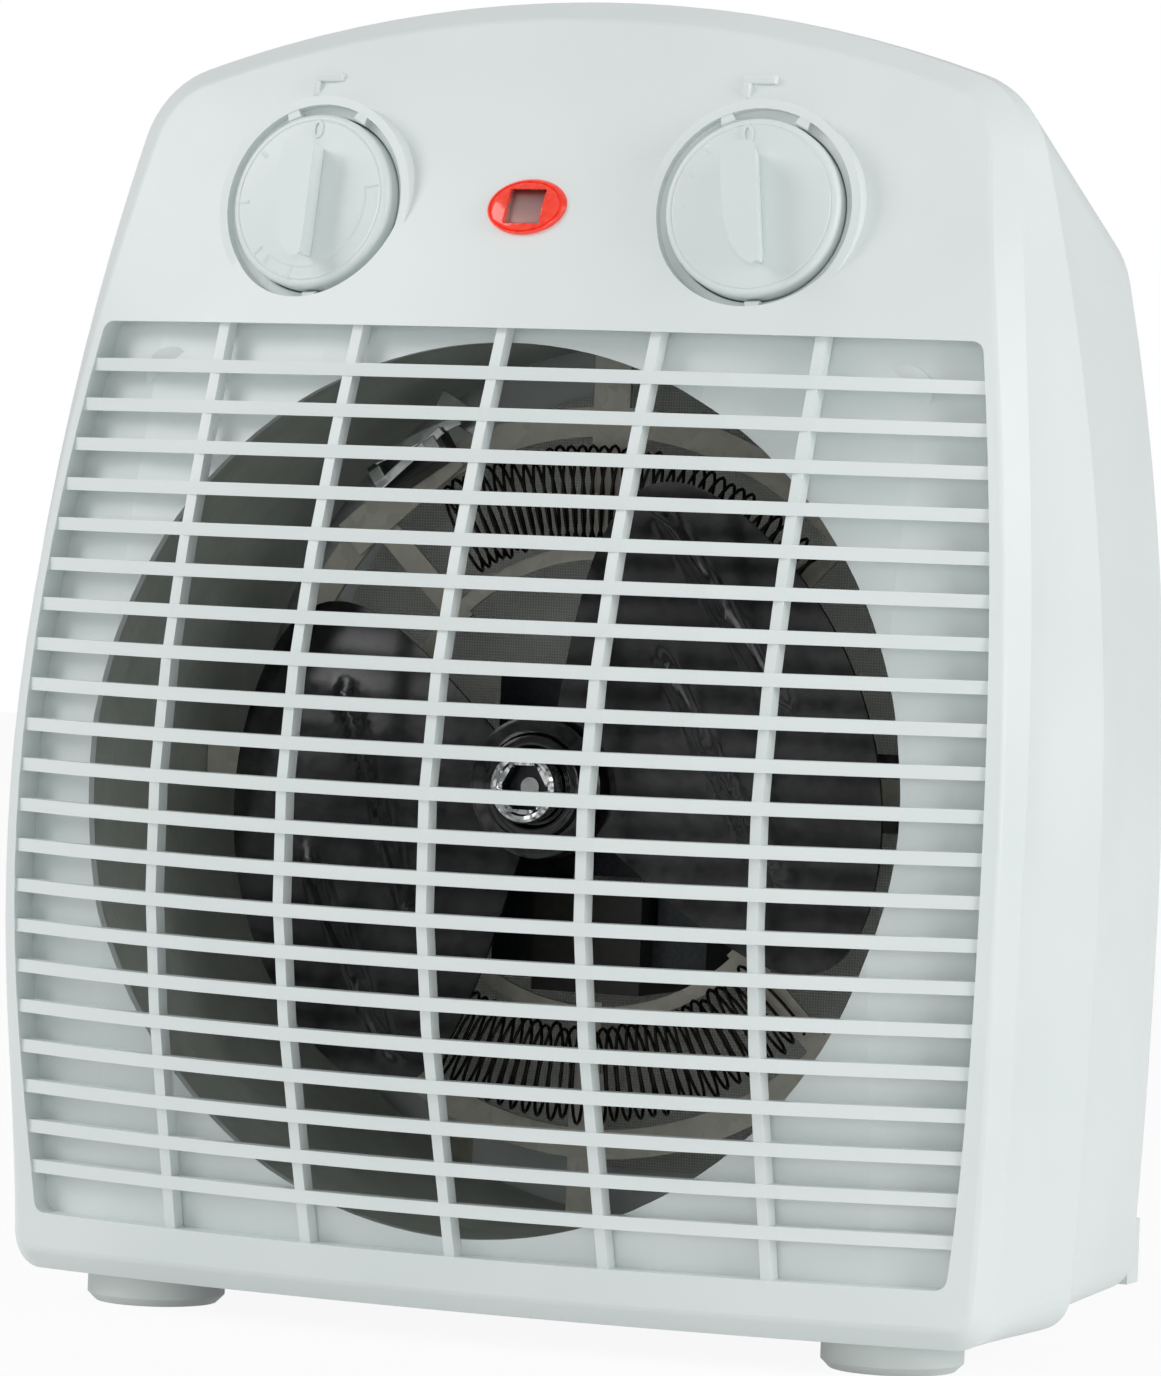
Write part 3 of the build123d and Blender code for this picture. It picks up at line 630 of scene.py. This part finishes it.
def coil_tree():
    """Tall curls of wire laid along an arc round the fan's axis."""
    tree = bpy.data.node_groups.new("wound_coil", "GeometryNodeTree")
    for name, kind, value in (
        ("Turns", "NodeSocketFloat", 38.0),
        ("Arc Radius", "NodeSocketFloat", 59 * MM),
        ("Half Tall", "NodeSocketFloat", 9.5 * MM),
        ("Half Thick", "NodeSocketFloat", 4 * MM),
        ("Start", "NodeSocketFloat", 0.0),
        ("Span", "NodeSocketFloat", 1.6),
        ("Wire Radius", "NodeSocketFloat", 0.35 * MM),
        ("Setback", "NodeSocketFloat", 0.0),
        ("Height", "NodeSocketFloat", AXIS_HEIGHT * MM),
        ("Unevenness", "NodeSocketFloat", 0.0),
        ("Material", "NodeSocketMaterial", None),
    ):
        socket = tree.interface.new_socket(name, in_out="INPUT", socket_type=kind)
        if value is not None:
            socket.default_value = value
    tree.interface.new_socket("Geometry", in_out="OUTPUT", socket_type="NodeSocketGeometry")
    given = add(tree, "NodeGroupInput").outputs
    unit = {"Start Radius": 1.0, "End Radius": 1.0, "Height": 1.0}
    helix = add(tree, "GeometryNodeCurveSpiral", {"Resolution": 20, "Rotations": given["Turns"], **unit})
    spot = add(tree, "ShaderNodeSeparateXYZ", {"Vector": add(tree, "GeometryNodeInputPosition")})
    known = {socket.name: socket for socket in list(given) + list(spot.outputs)}
    known["sample"] = add(tree, "ShaderNodeMath", {0: known["Z"], 1: 31.0}, operation="MULTIPLY")
    wander = {"W": known["sample"], "Scale": 1.0, "Detail": 1.0}
    known["wander"] = add(tree, "ShaderNodeTexNoise", wander, noise_dimensions="1D")
    # Each line is a new value, and how it is worked out from two others
    for name, operation, a, b in (
        ("centred", "SUBTRACT", "wander", 0.5),
        ("jitter", "MULTIPLY", "centred", "Unevenness"),
        ("travel", "MULTIPLY", "Z", "Span"),
        ("even angle", "ADD", "Start", "travel"),
        ("shift", "MULTIPLY", "jitter", 0.05),
        ("angle", "ADD", "even angle", "shift"),
        ("growth", "ADD", 1.0, "jitter"),
        ("tall", "MULTIPLY", "Half Tall", "growth"),
        ("reach", "MULTIPLY", "X", "tall"),
        ("radius", "ADD", "Arc Radius", "reach"),
        ("cosine", "COSINE", "angle", 0.0),
        ("sine", "SINE", "angle", 0.0),
        ("across", "MULTIPLY", "radius", "cosine"),
        ("thick", "MULTIPLY", "Y", "Half Thick"),
        ("backwards", "ADD", "Setback", "thick"),
        ("rise", "MULTIPLY", "radius", "sine"),
        ("upwards", "ADD", "Height", "rise"),
    ):
        terms = {0: known.get(a, a), 1: known.get(b, b)}
        known[name] = add(tree, "ShaderNodeMath", terms, operation=operation)
    position = {"X": known["across"], "Y": known["backwards"], "Z": known["upwards"]}
    laid = add(
        tree,
        "GeometryNodeSetPosition",
        {"Geometry": helix, "Position": add(tree, "ShaderNodeCombineXYZ", position)},
    )
    ring = add(tree, "GeometryNodeCurvePrimitiveCircle", {"Resolution": 7, "Radius": given["Wire Radius"]})
    wire = add(tree, "GeometryNodeCurveToMesh", {"Curve": laid, "Profile Curve": ring, "Fill Caps": True})
    real = add(tree, "GeometryNodeRealizeInstances", {"Geometry": wire})
    smooth = add(tree, "GeometryNodeSetShadeSmooth", {"Geometry": real})
    coated = add(tree, "GeometryNodeSetMaterial", {"Geometry": smooth, "Material": given["Material"]})
    add(tree, "NodeGroupOutput", {"Geometry": coated})
    return tree


def grown(name, tree, values):
    """A plain mesh from a node tree and its named inputs."""
    seed = linked(name, bpy.data.meshes.new(name))
    modifier = seed.modifiers.new("tree", "NODES")
    modifier.node_group = tree
    for item in tree.interface.items_tree:
        if item.in_out == "INPUT" and item.name in values:
            modifier[item.identifier] = values[item.name]
    evaluated = seed.evaluated_get(bpy.context.evaluated_depsgraph_get())
    mesh = bpy.data.meshes.new_from_object(evaluated)
    seed.modifiers.clear()
    seed.data = mesh
    mesh.name = name
    return seed


COIL = coil_tree()
for name, node, middle, span in (
    ("upper_coil_winding", "upper_heating_coil", 83, 78),
    ("lower_coil_winding", "lower_heating_coil", 270, 92),
):
    values = {
        "Turns": 38.0,
        "Start": math.radians(middle - span / 2),
        "Span": math.radians(span),
        "Setback": at(78.0) * MM,
        "Unevenness": 0.22,
        "Material": WIRE,
    }
    winding = grown(name, COIL, values)
    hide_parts(node)
    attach(winding, "housing")


# Behind the grille


def sleeve(name, inner, outer, end):
    """The sheet sleeve from the opening in the plate to the duct. Its front edge follows the plate's back."""
    count = 160
    front_edges = []
    for radius in (inner, outer):
        loop = []
        for x, y, z in ring_points(radius, count, 38):
            hit = front_tree.ray_cast(Vector((x, y, z)) * MM, Vector((0, -1, 0)))[0]
            loop.append((x, hit.y / MM + 0.05, z))
        front_edges.append(loop)
    loops = front_edges + [ring_points(outer, count, end), ring_points(inner, count, end)]
    piece = ringed(name, loops, [DUCT])
    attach(piece, "housing")
    return piece


sleeve("opening_sleeve", 88.2, 89.4, 39.8)

# The fan and its nut: setbacks and sizes in millimetres, angles in degrees
NUT_FRONT = 46.0
BLADE_TURN = 18
BLADE_ANGLE = 117
BLADE_ROOT = 11.0
BLADE_TIP = 71.0
BLADE_REACH = 73.0
BLADE_SETBACK = 56.0
BLADE_PITCH = 11.0
BLADE_CAMBER = 2.2
BLADE_SHEET = 0.9


def hub_nut(name):
    """A bright turned ring with a deep hexagonal socket, whose inner faces are painted dark grey as shade."""
    count = 96
    loops = []
    round_profile = [(7.2, 6.0), (7.2, 1.0), (6.9, 0.4), (6.3, 0.1), (5.7, 0.3), (5.3, 0.9)]
    for radius, setback in round_profile:
        loops.append(ring_points(radius, count, NUT_FRONT + setback))
    for radius, setback in [(4.9, 1.1), (4.6, 1.6), (4.5, 4.6)]:
        loop = []
        for k in range(count):
            turn = 2 * math.pi * k / count
            reach = radius * 0.9 / math.cos((turn % (math.pi / 3)) - math.pi / 6)
            x = reach * math.cos(turn)
            loop.append((x, at(NUT_FRONT + setback), AXIS_HEIGHT + reach * math.sin(turn)))
        loops.append(loop)
    piece = stacked(name, loops, [CHROME, LAMINATION_AND_SOCKET_SHADE])
    # Faces deep in the socket take the dark lamination grey: painted shade inside the nut
    for polygon in piece.data.polygons:
        x, y, z = polygon.center / MM
        if math.hypot(x, z - AXIS_HEIGHT) < 4.7 and y - at(NUT_FRONT) > 1.2:
            polygon.material_index = 1
    return piece


def blade_setback(across):
    """Setback of the blade's front at a distance across its middle line: pitch and camber."""
    lead = math.tan(math.radians(BLADE_PITCH)) * BLADE_REACH
    t = (across + BLADE_REACH) / (2 * BLADE_REACH)
    near = (1 - t) ** 2 * (lead + BLADE_CAMBER)
    middle = 2 * t * (1 - t) * BLADE_CAMBER
    return BLADE_SETBACK + near - middle + t**2 * (BLADE_CAMBER - lead)


def bead(along, across, middle, slope, low, high):
    """Height of a pressed stiffening bead that crosses the blade."""
    off = along - (middle + slope * across)
    return 0.9 * math.exp(-((off / 1.1) ** 2)) * inside(across, low, high, 4.0)


def fan_blade(name, turn):
    """One lobe with rounded corners and two beads, with a sheet's thickness."""
    columns = 72
    rows = 48
    half = math.radians(BLADE_ANGLE / 2)
    c = math.cos(math.radians(turn))
    d = math.sin(math.radians(turn))
    front = []
    for i in range(columns + 1):
        swing = math.sin((2 * i / columns - 1) * math.pi / 2)
        tip = BLADE_ROOT + (BLADE_TIP - BLADE_ROOT) * (1 - abs(swing) ** 9) ** 0.35
        for j in range(rows + 1):
            radius = BLADE_ROOT + (tip - BLADE_ROOT) * j / rows
            along = radius * math.cos(swing * half)
            across = radius * math.sin(swing * half)
            setback = blade_setback(across)
            setback -= bead(along, across, 36.0, -0.15, -32, 17)
            setback -= bead(along, across, 55.0, -0.27, 0, 44)
            front.append((along * c - across * d, at(setback), AXIS_HEIGHT + along * d + across * c))
    width = rows + 1
    count = len(front)
    points = front + [(x, y + BLADE_SHEET, z) for x, y, z in front]
    faces = []
    for i in range(columns):
        for j in range(rows):
            a = i * width + j
            faces.append((a, a + 1, a + width + 1, a + width))
            faces.append((a + count + width, a + count + width + 1, a + count + 1, a + count))
    rim = [i * width + rows for i in range(columns + 1)]
    root = [i * width for i in range(columns + 1)]
    ends = [[start + j for j in range(width)] for start in (0, columns * width)]
    for line in (rim, root, *ends):
        for a, b in zip(line, line[1:]):
            faces.append((a, b, b + count, a + count))
    return outwards(new_piece(name, points, faces, [FAN]))


def fan_hub(name):
    """The pressed hub disc with its raised collar round the shaft."""
    profile = [(14.5, 60.0), (14.5, 53.2), (14.2, 52.5), (13.4, 52.2), (11.6, 52.2), (10.9, 51.9)]
    profile += [(10.3, 50.9), (9.5, 50.6), (8.4, 50.7), (7.9, 51.3), (7.6, 52.2), (2.2, 52.2), (2.2, 60.0)]
    return ringed(name, [ring_points(radius, 96, setback) for radius, setback in profile], [FAN])


fan = joined(
    "fan_pressing",
    fan_hub("fan_hub"),
    fan_blade("fan_blade_a", BLADE_TURN + 180),
    fan_blade("fan_blade_b", BLADE_TURN),
)
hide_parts("fan_propeller")
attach(fan, "fan")


def thermal_cut_out(name):
    """The bimetal cut-out above the fan: its base, two contact springs and the strip that holds it."""
    made = []
    # Width, height, middle, turn, near and far setback and material of each part
    for suffix, w, h, middle, turn, near, far, material in (
        ("_base", 17, 7, (-41, 173), 33, 73, 80, PHENOLIC),
        ("_spring_a", 21, 2.4, (-38, 177.5), 25, 71, 71.5, CHROME),
        ("_spring_b", 19, 2.0, (-39, 173.5), 41, 70, 70.5, CHROME),
        ("_strip", 30, 8, (-46, 166), 40, 81, 82, MICA),
        ("_rivet_a", 3, 3, (-46, 170), 33, 69.6, 73, STEEL),
        ("_rivet_b", 3, 3, (-34, 176.5), 33, 69.6, 73, STEEL),
        ("_tab", 4.8, 12, (-30, 183), 62, 75, 75.8, STEEL),
    ):
        corners = [(-w / 2, -h / 2), (w / 2, -h / 2), (w / 2, h / 2), (-w / 2, h / 2)]
        made.append(slab(name + suffix, turned_about(corners, middle, turn), near, far, material, 0.25))
    piece = joined(name, *made)
    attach(piece, "housing")
    return piece


thermal_cut_out("thermal_cut_out")
nut = hub_nut("hub_ring_nut")
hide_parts("fan_nut")
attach(nut, "fan")

# A stiff disc of filter cloth behind the intake slots
filter_section = ((81.5, 117.2), (82.0, 117.4), (82.0, 118.2), (81.5, 118.4))
filter_loops = [ring_points(radius, 96, setback) for radius, setback in filter_section]
dust_filter = stacked("dust_filter", filter_loops, [FILTER])
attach(dust_filter, "housing")


# Stage, light and camera


def pale_floor():
    """A pale floor: white to the camera and in reflections, with some of the object's shadow kept."""
    material = bpy.data.materials.new("pale_floor")
    material.use_nodes = True
    tree = material.node_tree
    tree.nodes.clear()
    paint = add(tree, "ShaderNodeBsdfDiffuse", {"Color": linear("#f4f5f5")})
    glow = add(tree, "ShaderNodeEmission", {"Color": linear("#ffffff"), "Strength": 1.0})
    path = add(tree, "ShaderNodeLightPath").outputs
    rays = {0: path["Is Camera Ray"], 1: path["Is Glossy Ray"]}
    seen = add(tree, "ShaderNodeMath", rays, operation="MAXIMUM")
    share = add(tree, "ShaderNodeMath", {0: seen, 1: 0.92}, operation="MULTIPLY")
    mixed = add(tree, "ShaderNodeMixShader", {0: share, 1: paint, 2: glow})
    add(tree, "ShaderNodeOutputMaterial", {"Surface": mixed})
    reach = 3.0
    corners = [(-reach, -reach, 0), (reach, -reach, 0), (reach, reach, 0), (-reach, reach, 0)]
    mesh = bpy.data.meshes.new("floor")
    mesh.from_pydata(corners, [], [(0, 1, 2, 3)])
    mesh.materials.append(material)
    return linked("floor", mesh)


pale_floor()

# A soft studio, white where the camera sees past the object
world = bpy.data.worlds.new("studio")
bpy.context.scene.world = world
world.use_nodes = True
tree = world.node_tree
tree.nodes.clear()
path = add(tree, "ShaderNodeLightPath").outputs
rays = {0: path["Is Camera Ray"], 1: path["Is Transmission Ray"]}
seen = add(tree, "ShaderNodeMath", rays, operation="MAXIMUM")
soft = add(tree, "ShaderNodeBackground", {"Color": linear("#f6f8f8"), "Strength": 0.48})
white = add(tree, "ShaderNodeBackground", {"Color": linear("#ffffff"), "Strength": 1.0})
mixed = add(tree, "ShaderNodeMixShader", {0: seen, 1: soft, 2: white})
add(tree, "ShaderNodeOutputWorld", {"Surface": mixed})


def soft_box(name, place, aim, width, height, watts):
    """A rectangular soft light that faces a point. Places and sizes are in metres."""
    light = bpy.data.lights.new(name, "AREA")
    light.shape = "RECTANGLE"
    light.size = width
    light.size_y = height
    light.energy = watts
    lamp = linked(name, light)
    lamp.location = place
    lamp.rotation_euler = (Vector(aim) - Vector(place)).to_track_quat("-Z", "Y").to_euler()
    return lamp


soft_box("key_left", (-1.2, -1.0, 1.1), (0, 0, 0.12), 0.9, 0.9, 10)
soft_box("fill_right", (1.7, -0.15, 0.6), (0, 0, 0.12), 0.9, 1.2, 12)
soft_box("front_low", (0.5, -1.6, 0.35), (0, 0, 0.1), 0.6, 0.5, 2.5)

# The view was fitted to the photograph. Distance and target are in metres.
azimuth = math.radians(24.42)
elevation = math.radians(1.58)
roll = math.radians(2.05)
distance = 1.25
target = Vector((0.033, -0.0625, 0.1307))
back_x = math.sin(azimuth) * math.cos(elevation)
back_y = -math.cos(azimuth) * math.cos(elevation)
back = Vector((back_x, back_y, math.sin(elevation)))
right = Vector((math.cos(azimuth), math.sin(azimuth), 0))
level = Matrix((right, back.cross(right), back)).transposed()
turned = level @ Matrix.Rotation(roll, 3, "Z")
camera_data = bpy.data.cameras.new("camera")
camera_data.lens = 172.45
camera_data.sensor_width = 36.0
camera_data.clip_start = 0.01
camera = linked("camera", camera_data)
camera.matrix_world = Matrix.Translation(target + back * distance) @ turned.to_4x4()
bpy.context.scene.camera = camera
bpy.context.scene.view_settings.view_transform = "Standard"
